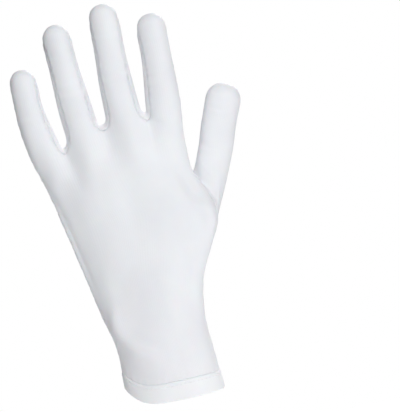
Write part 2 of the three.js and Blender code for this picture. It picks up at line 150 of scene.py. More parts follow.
# Folds of the worn cloth, as ridges (or valleys, if the height is negative) along a line. from and
# to: its ends, as shares of the hand's breadth and the palm's length. bow: how far its middle
# stands off a straight line. bow, width and height: shares of the hand's depth.
FOLD_COLUMNS = ("from_across", "from_up", "to_across", "to_up", "bow", "width", "height")
BACK_FOLDS = (
    (-0.40, 0.40, -0.44, 0.80, 0.0, 0.42, -0.070),
    (-0.28, 0.34, -0.10, 0.18, 0.2, 0.15, 0.065),
    (-0.25, 0.25, -0.19, 0.09, 0.2, 0.25, -0.036),
    (-0.18, 0.45, -0.11, 0.26, 0.0, 0.28, -0.035),
    (0.06, 0.27, 0.10, 0.48, 0.0, 0.45, 0.050),
    (0.26, 0.46, 0.24, 0.26, 0.1, 0.16, -0.035),
    (0.40, 0.57, 0.28, 0.78, 0.2, 0.24, -0.040),
    (0.45, 0.66, 0.36, 0.79, 0.0, 0.17, -0.070),
    (0.50, 0.55, 0.45, 0.66, 0.0, 0.16, 0.055),
    (-0.02, 0.80, 0.02, 0.62, 0.0, 0.36, -0.035),
    (-0.41, 0.84, -0.43, 0.93, 0.0, 0.24, 0.050),
    (-0.18, 0.88, -0.20, 0.98, 0.0, 0.28, 0.040),
    (0.07, 0.90, 0.07, 1.00, 0.0, 0.30, 0.030),
    (0.31, 0.88, 0.33, 0.98, 0.0, 0.28, 0.025),
)
PALM_FOLDS = (
    (-0.26, 0.42, -0.36, 0.78, 0.2, 0.46, 0.090),
    (0.16, 0.46, 0.06, 0.68, 0.3, 0.40, 0.080),
    (0.00, 0.52, -0.02, 0.84, 0.0, 0.34, -0.110),
    (-0.40, 0.84, 0.30, 0.90, 0.3, 0.26, 0.055),
    (-0.44, 0.76, 0.14, 0.84, -0.5, 0.085, -0.030),
    (-0.34, 0.64, 0.24, 0.77, -0.4, 0.075, -0.022),
    (0.27, 0.80, 0.03, 0.36, 0.8, 0.110, -0.030),
    (-0.27, 0.32, 0.27, 0.34, -0.2, 0.085, -0.045),
    (-0.25, 0.29, 0.22, 0.30, -0.2, 0.100, 0.030),
    (0.30, 0.34, 0.00, 0.16, -0.3, 0.090, -0.040),
    (0.26, 0.29, 0.02, 0.12, -0.3, 0.100, 0.032),
    (-0.28, 0.24, -0.08, 0.12, 0.2, 0.100, -0.025),
    (0.36, 0.56, 0.17, 0.41, -0.2, 0.110, -0.020),
)

# How squarely the cloth has to face back or front to feel a fold, and how soon a fold fades past
# its ends
FOLD_FACING = (0.05, 0.7)
FOLD_ENDS = 1.7

# Cross creases of the digits at their joints: share of the length, and height in millimetres
BACK_CREASES = ((0.37, 0.16), (0.41, -0.16), (0.46, 0.14), (0.71, 0.08), (0.74, -0.10))
PALM_CREASES = (
    (0.03, -0.40), (0.07, 0.18), (0.35, -0.34), (0.40, 0.18), (0.67, -0.26), (0.71, 0.14),
)
CREASE_WIDTH = 2.0
CREASE_BOW = 0.03
CREASE_JITTER = {"share": 0.018, "height": 0.4, "slant": 0.12}
CREASE_FACING = (-0.2, 0.6)

# Heights above a digit's root between which its creases fade in, and how far out they reach as a
# share of its width
FINGER_START = (-3, 3)
THUMB_START = (10, 24)
CREASE_REACH = 0.62

# Loose waves of the cloth: side to side and up spacing, height, and how far they reach above the
# mouth or from a seam
WAVES = (
    {"across": 34, "up": 52, "height": 0.22, "seed": 3},
    {"across": 13, "up": 26, "height": 0.10, "seed": 4},
)
CUFF_WAVES = {"across": 26, "up": 60, "height": 0.55, "reach": 34, "seed": 11}
PUCKER = {"across": 4.2, "up": 4.2, "height": 0.16, "reach": 3.2, "on_hem": 0.3, "seed": 17}
WAVE_COUNT = 28
WAVE_STRIDES = (0.6, 1.4)

# What is relaxed: rounds, how strongly, and over which distance. INSIDE: the directions to the
# cloth's inside, so that it doesn't overlap itself in creases.
ROOTS = {"rounds": 26, "weight": 0.9, "reach": 11, "from_web": 5, "clear_of_web": 16}
THUMB_SEAM = {"rounds": 200, "weight": 0.5, "reach": 11, "follow": 60, "follow_weight": 0.9,
              "soft_rounds": 30, "soft_weight": 0.8, "soft_top": 5, "soft_foot": 13}
INSIDE = {"rounds": 16, "weight": 0.5}

# The knit: wales side by side and courses one above another, and how steeply a loop's legs lean
WALE = 1.2
COURSE = 0.9
LOOP_SLOPE = 0.9

# Repeats in a metre: faint blotches, slubs of the yarn, and the twist of the sewing thread
BLOTCHES = 38.0
SLUBS = 420.0
TWISTS = 900.0

# Steps of the grids, before they are smoothed
FINGER_STEPS = 8
FOURCHETTE_STEPS = 4
PALM_STEPS = 32
SHAFT_STEPS = 20
TIP_STEPS = 5
THUMB_STEPS = 12
HOLE_STEPS = 6
HEM_ROWS = (0.0, 0.5, 1.4, 3.0, 5.0, 7.0, 8.4, 9.2, 9.9, 10.5, 11.0)
ROLL_STEPS = 6
HEM_ROLL_REACH = 5
SMOOTH_LEVELS = 2
TIP_TURNS = np.radians(np.linspace(0, 90, TIP_STEPS + 1))

# Rings of faces over which distances are worked out, and how near a row counts as on a line
RINGS = {"thumb_seam": 12, "web": 16, "pucker": 6, "edge": 8}
ROW_TOLERANCE = 0.01

PIECES = (
    "back_panel", "palm_panel", "fourchette_little_ring", "fourchette_ring_middle",
    "fourchette_middle_index", "thumb", "cuff_hem",
)
KIND = {name: place for place, name in enumerate(PIECES)}


def smoothstep(value, low, high):
    """0 below low, 1 above high, and an S-curve between."""
    share = np.clip((value - low) / (high - low), 0, 1)
    return share * share * (3 - 2 * share)


def mix(low, high, share):
    """The value at a share of the way from low to high."""
    return low + (high - low) * share


def bell(value, width):
    """1 at 0, and fading to both sides over the width."""
    return np.exp(-((value / width) ** 2))


def unit(vectors):
    """The same directions, with length 1."""
    return vectors / np.linalg.norm(vectors, axis=-1, keepdims=True)


def full(value, fullness):
    """A superellipse's sine or cosine: same sign, raised to 2 over the fullness."""
    return np.sign(value) * np.abs(value) ** (2 / fullness)


def joined(*parts):
    """One array of several, end to end."""
    return np.concatenate(parts)


def curve_through(places, values, at):
    """A smooth curve through the given values: cubic Hermite pieces with the mean slopes."""
    places, values, at = (np.asarray(item, float) for item in (places, values, at))
    slopes = np.gradient(values, places)
    at = np.clip(at, places[0], places[-1])
    piece = np.clip(np.searchsorted(places, at, side="right") - 1, 0, len(places) - 2)
    step = places[piece + 1] - places[piece]
    t = (at - places[piece]) / step
    start = (2 * t**3 - 3 * t**2 + 1) * values[piece] + (t**3 - 2 * t**2 + t) * step * slopes[piece]
    end = (3 * t**2 - 2 * t**3) * values[piece + 1] + (t**3 - t**2) * step * slopes[piece + 1]
    return start + end


def root_height(x):
    """Height of the finger roots over a place across the hand."""
    return curve_through(np.array(ROOT_ACROSS) * HAND_BREADTH, np.array(ROOT_UP) * PALM_LENGTH, x)


def section(angle, fullness):
    """Sine and cosine of a superellipse at ring angles in degrees."""
    turn = np.radians(angle)
    return full(np.sin(turn), fullness), full(np.cos(turn), fullness)


def reaches(up):
    """The palm tube's reach to the little finger, the thumb, the back and the palm at a height."""
    table = dict(zip(PALM_COLUMNS, np.array(PALM_SECTIONS).T))
    curves = (curve_through(table["up"], table[name], up) for name in PALM_COLUMNS[1:])
    wrist, little, thumb, back, palm = curves
    half_breadth = mix(HAND_BREADTH, WRIST_BREADTH, wrist) / 2
    half_depth = mix(HAND_DEPTH, WRIST_DEPTH, wrist) / 2
    return little * half_breadth, thumb * half_breadth, back * half_depth, palm * half_depth


def seam_angles():
    """Ring angles of the finger divisions: -90 at the little finger's side, 90 at the thumb's."""
    little, thumb, _, _ = reaches(1.0)
    share = (np.array(ROOT_ACROSS) * HAND_BREADTH - (thumb - little) / 2) * 2 / (thumb + little)
    angles = np.degrees(np.arcsin(np.clip(full(share, 4 / PALM_FULLNESS), -1, 1)))
    angles[0], angles[-1] = -90, 90
    return angles


def palm_columns():
    """Ring angle and web depth of each column across the back of the hand."""
    seams = seam_angles()
    step = np.arange(len(FINGERS) * FINGER_STEPS + 1)
    finger = np.minimum(step // FINGER_STEPS, len(FINGERS) - 1)
    share = (step - finger * FINGER_STEPS) / FINGER_STEPS
    angle = mix(seams[finger], seams[finger + 1], share)
    outer = ((finger == 0) & (share < 0.5)) | ((finger == len(FINGERS) - 1) & (share > 0.5))
    web = np.where(outer, 0, np.abs(2 * share - 1) ** WEB["dip_power"])
    return angle, web


def palm_points(up, angle, web):
    """Points of the palm tube: a superellipse ring at each height, bent up with the root line,
    thinner between the fingers, and rounded at the mouth's corner."""
    little, thumb, back, palm = reaches(up)
    sine, cosine = section(angle, PALM_FULLNESS)
    x = mix(-little, thumb, (sine + 1) / 2)
    dip = WEB["dip"] * web * smoothstep(up, WEB["dip_start"], 1)
    depth = np.where(cosine > 0, back, palm) * (1 - dip)
    turn = np.minimum(np.abs(angle + 90), np.abs(angle - 270))
    corner = MOUTH_RISE * bell(turn, MOUTH_SPREAD)
    above = np.maximum(0, up - HEM_HEIGHT / PALM_LENGTH) / MOUTH_REACH
    mouth = (corner - MOUTH_DIP * cosine) * np.maximum(0, 1 - above) ** 2
    return np.stack([x, -cosine * depth, up * root_height(x) + mouth], -1)


def ring_points(centre, across, up, half_width, half_depth, angle):
    """A superellipse ring round a centre, square to up: angle 0 at the back, 90 at across."""
    sine, cosine = section(angle, FINGER_FULLNESS)
    side, face = sine * half_width, cosine * half_depth
    return centre + side[..., None] * across + face[..., None] * np.cross(across, up)


class Skin:
    """Grids of points that share their edges, each with its piece and its place on the cloth."""

    def __init__(self):
        self.grids = []
        self.count = 0

    def add(self, piece, points, cloth, keep=None):
        """Adds a grid of rows and columns. Columns run so that column x row points outwards."""
        rows, columns = points.shape[:2]
        index = np.arange(rows * columns).reshape(rows, columns) + self.count
        quads = np.stack([index[:-1, :-1], index[:-1, 1:], index[1:, 1:], index[1:, :-1]], -1)
        quads = quads[keep] if keep is not None else quads.reshape(-1, 4)
        pieces = np.full(len(quads), KIND[piece])
        self.grids.append((points.reshape(-1, 3), cloth.reshape(-1, 2), quads, pieces))
        self.count += rows * columns

    def smoothed(self):
        """One welded mesh of all the grids, smoothed by subdivision."""
        points, cloth, quads, pieces = (joined(*arrays) for arrays in zip(*self.grids))
        places = np.round(points, 3)
        _, first, place = np.unique(places, axis=0, return_index=True, return_inverse=True)
        welded = place.reshape(-1)[quads]
        open_foot = welded[:, 0] != welded[:, 1]
        shut_top = welded[:, 2] == welded[:, 3]
        parts = ((open_foot & ~shut_top, 4), (open_foot & shut_top, 3))
        corners = joined(*(welded[part][:, :sides].ravel() for part, sides in parts))
        on_cloth = joined(*(quads[part][:, :sides].ravel() for part, sides in parts))
        sizes = joined(*(np.full(part.sum(), sides) for part, sides in parts))
        kinds = joined(*(pieces[part] for part, _ in parts))
        cage = make_mesh("cage", points[first], corners, sizes, cloth[on_cloth], kinds)
        carrier = add_object("cage", cage)
        smooth = carrier.modifiers.new("smooth", "SUBSURF")
        smooth.levels = smooth.render_levels = SMOOTH_LEVELS
        smooth.uv_smooth = "NONE"
        depsgraph = bpy.context.evaluated_depsgraph_get()
        dense = bpy.data.meshes.new_from_object(carrier.evaluated_get(depsgraph))
        arrays = read_mesh(dense)
        bpy.data.objects.remove(carrier)
        bpy.data.meshes.remove(cage)
        bpy.data.meshes.remove(dense)
        return arrays


def make_mesh(name, points, corners, sizes, cloth, kinds=None):
    """A mesh from arrays: points, face corners one after another, corners in each face, UVs."""
    mesh = bpy.data.meshes.new(name)
    mesh.vertices.add(len(points))
    mesh.vertices.foreach_set("co", (points * MM).astype(np.float32).ravel())
    mesh.loops.add(len(corners))
    mesh.loops.foreach_set("vertex_index", corners.astype(np.int32))
    mesh.polygons.add(len(sizes))
    starts = joined([0], np.cumsum(sizes)[:-1])
    mesh.polygons.foreach_set("loop_start", starts.astype(np.int32))
    mesh.polygons.foreach_set("loop_total", sizes.astype(np.int32))
    if kinds is not None:
        for _ in PIECES:
            mesh.materials.append(None)
        mesh.polygons.foreach_set("material_index", kinds.astype(np.int32))
    mesh.uv_layers.new(name="cloth")
    mesh.uv_layers["cloth"].data.foreach_set("uv", (cloth * MM).astype(np.float32).ravel())
    mesh.polygons.foreach_set("use_smooth", np.ones(len(sizes), bool))
    mesh.update(calc_edges=True)
    mesh.validate()
    return mesh


def read_mesh(mesh):
    """Points, quads, places on the cloth and pieces of a mesh of quads, in millimetres."""
    points = np.empty(len(mesh.vertices) * 3, np.float32)
    mesh.vertices.foreach_get("co", points)
    quads = np.empty(len(mesh.loops), np.int32)
    mesh.loops.foreach_get("vertex_index", quads)
    cloth = np.empty(len(mesh.loops) * 2, np.float32)
    mesh.uv_layers["cloth"].data.foreach_get("uv", cloth)
    kinds = np.empty(len(mesh.polygons), np.int32)
    mesh.polygons.foreach_get("material_index", kinds)
    points = points.reshape(-1, 3).astype(float) / MM
    return points, quads.reshape(-1, 4), cloth.reshape(-1, 4, 2).astype(float) / MM, kinds


def add_object(name, data):
    """Puts a mesh, camera or light into the scene."""
    thing = bpy.data.objects.new(name, data)
    bpy.context.scene.collection.objects.link(thing)
    return thing


def cloth_grid(columns, heights):
    """Places on the cloth for a grid: its columns side to side, and its rows' heights."""
    return np.stack(np.broadcast_arrays(columns * COLUMN_WIDTH, heights[:, None]), -1)


def add_palm(skin):
    """The hem and both panels below the finger roots. Returns the rim of the thumb's hole."""
    angle, web = palm_columns()
    hem_top = HEM_HEIGHT / PALM_LENGTH
    hem_up = np.array(HEM_ROWS) / PALM_LENGTH
    up = np.linspace(hem_top, 1, PALM_STEPS + 1)
    hole = (np.array([HOLE_FROM, HOLE_TO]) - hem_top) / (1 - hem_top) * PALM_STEPS
    first, last = np.round(hole).astype(int)
    sides = (("back_panel", angle, web), ("palm_panel", 180 - angle[::-1], web[::-1]))
    for piece, ring, depth in sides:
        for name, rows in (("cuff_hem", hem_up), (piece, up)):
            cloth = cloth_grid(np.arange(len(ring)), rows * PALM_LENGTH)
            points = palm_points(rows[:, None], ring, depth)
            keep = None
            if name == "palm_panel":
                keep = np.ones((PALM_STEPS, len(ring) - 1), bool)
                keep[first:last, :HOLE_STEPS] = False
                foot, inner = points[first, :HOLE_STEPS], points[first:last, HOLE_STEPS]
                top, outer = points[last, HOLE_STEPS:0:-1], points[last:first:-1, 0]
                rim = joined(foot, inner, top, outer)
            skin.add(name, points, cloth, keep)
    return rim


def finger_size(place):
    """A finger's length and width, and its root's place across the hand."""
    finger = FINGERS[place]
    across = (ROOT_ACROSS[place] + ROOT_ACROSS[place + 1]) * HAND_BREADTH / 2
    return finger["long"] * FINGER_LENGTH, finger["wide"] * FINGER_WIDTH, across


def finger_rings(place):
    """A finger's rings from root to tip: share of the length, centre, directions, half sizes."""
    finger = FINGERS[place]
    length, width, x = finger_size(place)
    dome = width * TIP_WIDTH / 2 * TIP_DOME
    shaft = np.linspace(0, length - dome, SHAFT_STEPS + 1)[1:-1]
    distance = joined(shaft, length - dome * (1 - np.sin(TIP_TURNS)))
    wide = curve_through(FINGER_ALONG, FINGER_WIDE, shaft / length)
    half = joined(wide, TIP_WIDTH * np.maximum(np.cos(TIP_TURNS), 0)) * width / 2
    half[-1] = 0

    def middle(at):
        share = at / length
        lean = np.radians(finger["lean"])
        sideways = at * np.sin(lean) + finger["bow"] * width * 4 * share * (1 - share)
        height = root_height(x) + at * np.cos(lean)
        return np.stack([x + sideways, FINGER_CURL * share**2, height], -1)

    centre = middle(distance)
    up = unit(centre - middle(distance * 0.99))
    across = unit(np.array([1.0, 0, 0]) - up[:, :1] * up)
    return distance / length, centre, across, up, half


def fourchette_angle(place, share):
    """How far a fourchette reaches round the finger's side, narrowing to nothing at the tip."""
    length, width, _ = finger_size(place)
    end = 1 - width * TIP_WIDTH / 2 * TIP_DOME / length
    widest = np.degrees(FOURCHETTE_WIDTH / width)
    inside = np.maximum(0, 1 - (np.minimum(share, end) / end) ** 2)
    return widest * np.sqrt(np.where(share >= end - 1e-9, 0, inside))


def strip(rings, root, low, high, quick):
    """One side of a finger: columns leave the root's points and turn into the finger's rings, and
    no ring starts lower than they do. quick: how soon each column turns, up to 1 in the web."""
    share, centre, across, up, half = rings
    even = np.linspace(0, 1, len(root))
    angle = mix(low[:, None], high[:, None], even)
    spread = [item[:, None, :] for item in (centre, across, up)]
    slim = WEB["slim"] * quick * bell(share[:, None], WEB["slim_reach"])
    depth = half[:, None] * FINGER_DEPTH * np.ones_like(angle)
    rows = ring_points(*spread, half[:, None] * (1 - slim), depth, angle)
    length = np.linalg.norm(centre[1] - centre[0]) / (share[1] - share[0])
    lift = np.maximum(0, (root - centre[0]) @ up[0] + share[0] * length)
    lift = lift * np.maximum(0, 1 - share[:, None] / WEB["lift_reach"]) ** 2
    rows = rows + lift[..., None] * up[:, None, :]
    reach = mix(WEB["blend"], WEB["side_blend"], quick)
    blend = (1 - (1 - np.minimum(1, share[:, None] / reach)) ** 3)[..., None]
    return joined(root[None], mix(root, rows, blend))


def add_finger(skin, place):
    """A finger's four sides: back, front, and the fourchettes towards its neighbours."""
    finger = FINGERS[place]
    angle, web = palm_columns()
    rings = finger_rings(place)
    share = rings[0]
    reach = fourchette_angle(place, share)
    after_little, before_thumb = place > 0, place < len(FINGERS) - 1
    to_little, to_thumb = reach * after_little, reach * before_thumb
    column = np.arange(FINGER_STEPS + 1)
    here = place * FINGER_STEPS + column
    back_root = palm_points(1.0, angle[here], web[here])
    palm_root = palm_points(1.0, 180 - angle[here], web[here])[::-1]
    height = PALM_LENGTH + joined([0], share) * finger["long"] * FINGER_LENGTH
    even = np.linspace(-1, 1, FINGER_STEPS + 1)
    in_web = np.where(even < 0, after_little, before_thumb)
    quick = in_web * np.abs(even) ** WEB["side_power"]
    back = strip(rings, back_root, to_little - 90, 90 - to_thumb, quick)
    palm = strip(rings, palm_root, 90 + to_thumb, 270 - to_little, quick[::-1])
    skin.add("back_panel", back, cloth_grid(here, height))
    last = (len(FINGERS) - 1 - place) * FINGER_STEPS
    skin.add("palm_panel", palm, cloth_grid(last + column, height))
    whole = np.ones(FOURCHETTE_STEPS + 1)
    for web_place, facing, order in ((place + 1, 90, 1), (place, 270, -1)):
        if 0 < web_place < len(FINGERS):
            name = f"fourchette_{FINGERS[web_place - 1]['name']}_{FINGERS[web_place]['name']}"
            arch = web_arch(web_place)[::order]
            side = strip(rings, arch, facing - reach, facing + reach, whole)
            skin.add(name, side, cloth_grid(np.arange(len(arch)), height))


def web_arch(boundary):
    """The arch between two finger roots, from the back of the hand to the palm."""
    angle, web = palm_columns()
    column = boundary * FINGER_STEPS
    back = palm_points(1.0, angle[column], web[column])
    palm = palm_points(1.0, 180 - angle[column], web[column])
    share = np.linspace(0, 1, FOURCHETTE_STEPS + 1)[:, None]
    rise = WEB_RISES[boundary - 1] * HAND_DEPTH * np.sin(np.pi * share)
    return mix(back, palm, share) + np.array([0, 0, 1]) * np.round(rise, 9)


def thumb_frame():
    """The thumb's middle line: its root, and directions along it, across it and to its back."""
    root = np.array([THUMB["across"], THUMB["forward"], THUMB["up"]])
    root = root * (HAND_BREADTH, HAND_DEPTH, PALM_LENGTH)
    lean, swing = np.radians(THUMB["lean"]), np.radians(THUMB["swing"])
    up = np.array([np.sin(lean) * np.cos(swing), np.sin(swing), np.cos(lean) * np.cos(swing)])
    across = unit(np.array([1.0, 0, 0]) - up[0] * up)
    return root, up, across, np.cross(across, up)


def add_thumb(skin, rim):
    """The thumb: slanted rings that start on the rim of its hole, and level ones above its base."""
    root, up, across, back = thumb_frame()
    arms = rim - root
    starts = arms @ up
    turns = np.degrees(np.arctan2(arms @ across, arms @ back))
    even = turns[0] + np.arange(len(rim)) * 360 / len(rim)
    own = even + (turns - even + 180) % 360 - 180
    dome = THUMB_WIDTH / 2 * TIP_DOME
    base_end = THUMB_BASE * THUMB_LENGTH
    shaft = np.linspace(base_end, THUMB_LENGTH - dome, THUMB_STEPS + 1)[1:-1]
    steps = np.linspace(0, 1, THUMB_STEPS + 1)
    base = joined(steps, np.ones(len(shaft) + len(TIP_TURNS)))[:, None]
    level = np.full(THUMB_STEPS + 1, base_end)
    distance = joined(level, shaft, THUMB_LENGTH - dome * (1 - np.sin(TIP_TURNS)))[:, None]
    wide = curve_through(THUMB_ALONG, THUMB_WIDE, joined(level, shaft) / THUMB_LENGTH)
    half = joined(wide, np.maximum(np.cos(TIP_TURNS), 0))[:, None]
    half[-1] = 0
    centre = root + mix(starts, distance, base)[..., None] * up
    angle = mix(own, even, base)
    size = half * np.ones_like(angle)
    to_hand = np.maximum(0, -np.sin(np.radians(angle)))
    fade = 1 - smoothstep(distance / THUMB_LENGTH, THUMB_BASE, THUMB["slim_end"])
    half_width = size * (1 - THUMB["slim"] * to_hand * fade) * THUMB_WIDTH / 2
    rings = ring_points(centre, across, up, half_width, size * THUMB_DEPTH / 2, angle)
    leave = (1 - base) ** (THUMB["blend"] + THUMB["hand_blend"] * to_hand)
    points = mix(rim, rings, (1 - leave)[..., None])
    points = np.concatenate([points, points[:, :1]], 1)
    foot = np.linspace(0, base_end, THUMB_STEPS + 1)
    rows = joined(foot, distance[THUMB_STEPS + 1:, 0])
    skin.add("thumb", points, cloth_grid(np.arange(len(rim) + 1), rows))


def sum_at(places, values, count):
    """Adds rows of values into count sums, by place."""
    return np.stack([np.bincount(places, values[:, k], count) for k in range(values.shape[1])], -1)


def point_normals(points, quads):
    """Outward directions, weighted by the area of the faces round each point."""
    a, b, c, d = (points[quads[:, k]] for k in range(4))
    faces = np.cross(c - a, d - b)
    return unit(sum_at(quads.ravel(), np.repeat(faces, 4, 0), len(points)) + 1e-12)


def mesh_edges(quads):
    """Each directed edge of each quad, with the quad it belongs to."""
    edges = np.stack([quads, np.roll(quads, -1, 1)], -1).reshape(-1, 2)
    return edges, np.repeat(np.arange(len(quads)), 4)


def edge_keys(edges, count):
    """A whole number for each edge, the same only for edges from and to the same points."""
    return edges[:, 0].astype(np.int64) * count + edges[:, 1]


def distance_from(marked, points, quads, rings):
    """Distance over the skin from marked points, worked outwards by a number of rings."""
    edges, _ = mesh_edges(quads)
    length = np.linalg.norm(points[edges[:, 0]] - points[edges[:, 1]], axis=1)
    away = np.where(marked, 0.0, 1e3)
    for _ in range(rings):
        np.minimum.at(away, edges[:, 0], away[edges[:, 1]] + length)
        np.minimum.at(away, edges[:, 1], away[edges[:, 0]] + length)
    return away


def neighbours(quads):
    """Each point and a point that an edge joins it to, both ways round for every edge."""
    edges, _ = mesh_edges(quads)
    _, first = np.unique(edge_keys(np.sort(edges, 1), quads.max() + 1), return_index=True)
    a, b = edges[first].T
    return joined(a, b), joined(b, a)


def relaxed(points, joins, weight, rounds, held=None):
    """Points drawn towards their neighbours' mean, as far as their weight says, over some rounds.
    Points that are held stay where they are."""
    ends, others = joins
    shares = np.maximum(1, np.bincount(ends, minlength=len(points)))[:, None]
    weight = weight[:, None] if held is None else np.where(held, 0, weight)[:, None]
    for _ in range(rounds):
        middle = sum_at(ends, points[others], len(points)) / shares
        points = mix(points, middle, weight)
    return points


def with_round_thumb_seam(points, quads, kinds):
    """Rounds off the seam round the thumb. Its points are drawn to their neighbours' mean along
    it, the cloth beside it follows them, and is then softened square to itself."""
    edges, owner = mesh_edges(quads)
    in_thumb = kinds[owner] == KIND["thumb"]
    count = len(points)
    edges = np.sort(edges, 1)
    keys = edge_keys(edges, count)
    on_seam = np.isin(keys, keys[in_thumb]) & np.isin(keys, keys[~in_thumb])
    _, first = np.unique(keys[on_seam], return_index=True)
    a, b = edges[on_seam][first].T
    ends, others = joined(a, b), joined(b, a)
    shares = np.bincount(ends, minlength=count)
    seam = shares > 0
    rounded = points.copy()
    for _ in range(THUMB_SEAM["rounds"]):
        middle = sum_at(ends, rounded[others], count)[seam] / shares[seam, None]
        rounded[seam] = mix(rounded[seam], middle, THUMB_SEAM["weight"])
    centre = points[seam].mean(0)
    arms = rounded[seam] - rounded[seam].mean(0)
    size = np.linalg.norm(points[seam] - centre, axis=1).mean()
    rounded[seam] = centre + arms * size / np.linalg.norm(arms, axis=1).mean()
    away = distance_from(seam, points, quads, RINGS["thumb_seam"])
    near = bell(away, THUMB_SEAM["reach"])
    joins = neighbours(quads)
    follow, weight = THUMB_SEAM["follow"], THUMB_SEAM["follow_weight"]
    shift = relaxed(rounded - points, joins, near, follow, seam)
    points = relaxed(points + shift * near[:, None], joins, weight * near, follow, seam)
    height = points[:, 2] - points[seam, 2].min()
    top = smoothstep(height, 0, np.ptp(points[seam, 2]))
    reach = mix(THUMB_SEAM["soft_foot"], THUMB_SEAM["soft_top"], top)
    soft = THUMB_SEAM["soft_weight"] * bell(away, reach)
    softer = relaxed(points, joins, soft, THUMB_SEAM["soft_rounds"])
    outward = point_normals(points, quads)
    return points + ((softer - points) * outward).sum(1, keepdims=True) * outward


def ridge(points, fold):
    """Height of a fold at points of the hand: a bell across its bowed line, and a flatter bell
    along it, which fades out past both ends."""
    hand = np.array([HAND_BREADTH, PALM_LENGTH])
    start = np.array([fold["from_across"], fold["from_up"]]) * hand
    run = np.array([fold["to_across"], fold["to_up"]]) * hand - start
    place = points[:, ::2] - start
    along = place @ run / (run @ run)
    off = (place[:, 0] * run[1] - place[:, 1] * run[0]) / np.linalg.norm(run)
    middle = fold["bow"] * HAND_DEPTH * (1 - np.minimum(1, (2 * along - 1) ** 2))
    across_fold = (off - middle) / (fold["width"] * HAND_DEPTH)
    along_fold = FOLD_ENDS * (along - 0.5)
    return fold["height"] * HAND_DEPTH * np.exp(-(across_fold**2) - along_fold**4)


def fold_heights(points, normals):
    """All the folds of the back and the palm, each felt only where the cloth faces its way."""
    total = np.zeros(len(points))
    for folds, way in ((BACK_FOLDS, -normals[:, 1]), (PALM_FOLDS, normals[:, 1])):
        facing = smoothstep(way, *FOLD_FACING)
        for row in folds:
            total += ridge(points, dict(zip(FOLD_COLUMNS, row))) * facing
    return total


def digit_creases(along, length, normals, across, near, seed):
    """Cross creases round one digit, each a little out of place. near is 1 on the digit."""
    random = np.random.default_rng(seed)
    total = np.zeros(len(along))
    sides = ((BACK_CREASES, -normals[:, 1]), (PALM_CREASES, normals[:, 1]))
    for creases, facing in sides:
        for share, height in creases:
            shift, scale, slant = random.uniform(-1, 1, 3)
            share += shift * CREASE_JITTER["share"]
            height *= 1 + scale * CREASE_JITTER["height"]
            bend = along - share * length - CREASE_BOW * across**2
            bend = bend - slant * CREASE_JITTER["slant"] * across
            total += height * bell(bend, CREASE_WIDTH) * smoothstep(facing, *CREASE_FACING)
    return total * near


def crease_heights(points, normals, kinds_at):
    """The creases of the four fingers and the thumb."""
    total = np.zeros(len(points))
    on_thumb = kinds_at == KIND["thumb"]
    for place, finger in enumerate(FINGERS):
        length, width, x = finger_size(place)
        lean = np.radians(finger["lean"])
        along = (points[:, 2] - root_height(x)) / np.cos(lean)
        share = np.clip(along / length, 0, 1)
        across = points[:, 0] - x - along * np.sin(lean)
        across = across - finger["bow"] * width * 4 * share * (1 - share)
        near = smoothstep(along, *FINGER_START) * ~on_thumb
        near = near * (np.abs(across) < width * CREASE_REACH)
        total += digit_creases(along, length, normals, across, near, place)
    root, up, across, _ = thumb_frame()
    arms = points - root
    near = smoothstep(arms @ up, *THUMB_START) * on_thumb
    seed = len(FINGERS)
    return total + digit_creases(arms @ up, THUMB_LENGTH, normals, arms @ across, near, seed)


def wave_field(points, wave):
    """A smooth random height, mostly from -1 to 1: the sum of many slanted sine waves."""
    random = np.random.default_rng(wave["seed"])
    across, stretch = wave["across"], wave["across"] / wave["up"]
    turns = random.uniform(-1, 1, (WAVE_COUNT, 3))
    turns[:, 2] *= stretch
    strides = random.uniform(*WAVE_STRIDES, (WAVE_COUNT, 1))
    strides = unit(turns + 1e-9) * strides * 2 * np.pi / across
    strides[:, 2] *= stretch
    starts = random.uniform(0, 2 * np.pi, WAVE_COUNT)
    return np.sin(points @ strides.T + starts).sum(1) / np.sqrt(WAVE_COUNT)


def sculpted(points, quads, kinds):
    """The skin with the thumb's seam rounded, the finger roots softened away from the webs, and
    then its folds, creases, waves and puckered seams."""
    corners, kinds_there = quads.ravel(), np.repeat(kinds, 4)
    kinds_at = np.zeros(len(points), int)
    kinds_at[corners] = kinds_there
    lowest, highest = np.full(len(points), len(PIECES)), np.zeros(len(points), int)
    np.minimum.at(lowest, corners, kinds_there)
    np.maximum.at(highest, corners, kinds_there)
    seam = lowest != highest

    points = with_round_thumb_seam(points, quads, kinds)
    root_away = np.abs(points[:, 2] - root_height(points[:, 0]))
    fourchette = (highest >= KIND["fourchette_little_ring"]) & (highest < KIND["thumb"])
    web_away = distance_from(fourchette, points, quads, RINGS["web"])
    clear = smoothstep(web_away, ROOTS["from_web"], ROOTS["clear_of_web"])
    near = bell(root_away, ROOTS["reach"]) * (kinds_at != KIND["thumb"]) * clear
    near = np.clip(near, 0, ROOTS["weight"])
    points = relaxed(points, neighbours(quads), near, ROOTS["rounds"])

    normals = point_normals(points, quads)
    height = fold_heights(points, normals) + crease_heights(points, normals, kinds_at)
    for wave in WAVES:
        height += wave["height"] * wave_field(points, wave)
    low = bell(points[:, 2], CUFF_WAVES["reach"])
    height += low * CUFF_WAVES["height"] * wave_field(points, CUFF_WAVES)
    away = distance_from(seam, points, quads, RINGS["pucker"])
    above_hem = distance_from(highest == KIND["cuff_hem"], points, quads, RINGS["pucker"])
    pucker = wave_field(points, PUCKER)
    pucker *= mix(PUCKER["on_hem"], 1, smoothstep(above_hem, 0, PUCKER["reach"]))
    height += PUCKER["height"] * pucker * bell(away, PUCKER["reach"])
    points = points + normals * height[:, None]
    return points, point_normals(points, quads)


def build_skin():
    """The whole glove's skin, smoothed and not yet folded."""
    skin = Skin()
    rim = add_palm(skin)
    for place in range(len(FINGERS)):
        add_finger(skin, place)
    add_thumb(skin, rim)
    return skin.smoothed()


